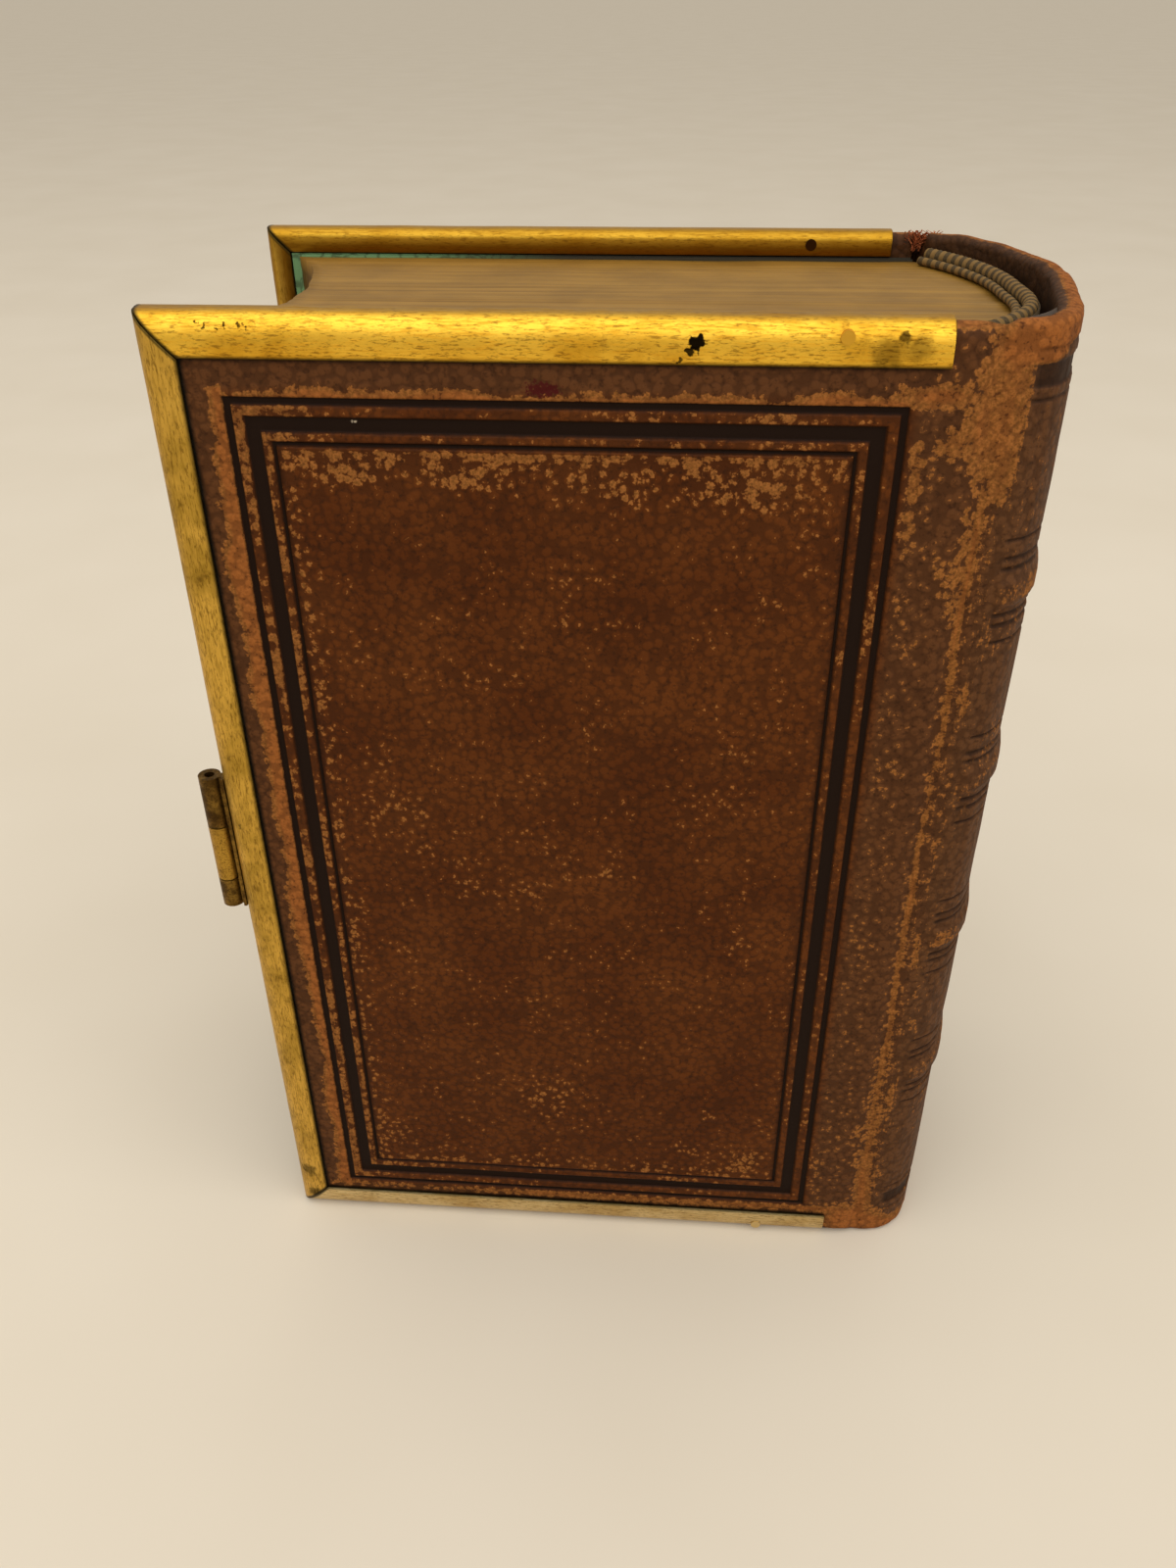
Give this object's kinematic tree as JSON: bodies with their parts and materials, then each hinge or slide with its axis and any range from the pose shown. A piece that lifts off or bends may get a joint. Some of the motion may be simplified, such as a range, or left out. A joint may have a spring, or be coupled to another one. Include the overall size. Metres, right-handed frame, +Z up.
{
  "type": "antique leather book",
  "caption": "Small old book in full brown leather: two covers with brass edge rims, rounded hollow spine, gilt-edged leaves and a hinged brass clasp across the fore-edge",
  "frame": {"origin": "on the table plane, under the middle of the standing book's bounding box", "axes": "+Z up the standing book from tail to head, +X from the fore-edge to the spine, -Y towards the back cover"},
  "size_m": [0.099, 0.051, 0.13],
  "materials": {
    "cover_leather": "worn satin",
    "spine_leather": "worn satin",
    "gilt_leaves": "dulled gilt",
    "green_paper": "matte printed",
    "millboard": "matte",
    "card": "matte",
    "gilt_brass": "lacquered, scratched",
    "aged_brass": "tarnished",
    "headband_silk": "matte striped",
    "lining_cloth": "matte",
    "hemp_cord": "matte"
  },
  "bodies": {
    "text_block": {"text_block": "gilt_leaves", "sewing_cords": "hemp_cord", "spine_lining": "lining_cloth", "head_band": "headband_silk", "tail_band": "headband_silk", "front_free_endpaper": "green_paper", "back_free_endpaper": "green_paper", "spine_stiffener": "card", "spine_leather": "spine_leather"},
    "front_cover": {"front_board": "millboard", "front_cover_leather": "cover_leather", "front_pastedown": "green_paper", "front_rim_head": "gilt_brass", "front_rim_fore_edge": "gilt_brass", "front_rim_tail": "gilt_brass", "front_rim_pins": "aged_brass", "clasp_stud": "aged_brass"},
    "back_cover": {"back_board": "millboard", "back_cover_leather": "cover_leather", "back_pastedown": "green_paper", "back_rim_head": "gilt_brass", "back_rim_fore_edge": "gilt_brass", "back_rim_tail": "gilt_brass", "back_rim_pins": "aged_brass", "clasp_hinge_leaf": "aged_brass", "clasp_hinge_pin": "aged_brass"},
    "clasp": {"clasp_arm": "gilt_brass"}
  },
  "joints": [
    {"name": "front_cover_hinge", "type": "hinge", "parent": "text_block", "child": "front_cover", "pos_m": [0.03708, 0.0248, 0.065], "axis": [0, 0, -1], "range_deg": [0, 170]},
    {"name": "back_cover_hinge", "type": "hinge", "parent": "text_block", "child": "back_cover", "pos_m": [0.03708, -0.0248, 0.065], "axis": [0, 0, 1], "range_deg": [0, 170]},
    {"name": "clasp_hinge", "type": "hinge", "parent": "back_cover", "child": "clasp", "pos_m": [-0.04692, -0.0226, 0.0649], "axis": [0, 0, 1], "range_deg": [-3, 177]}
  ]
}
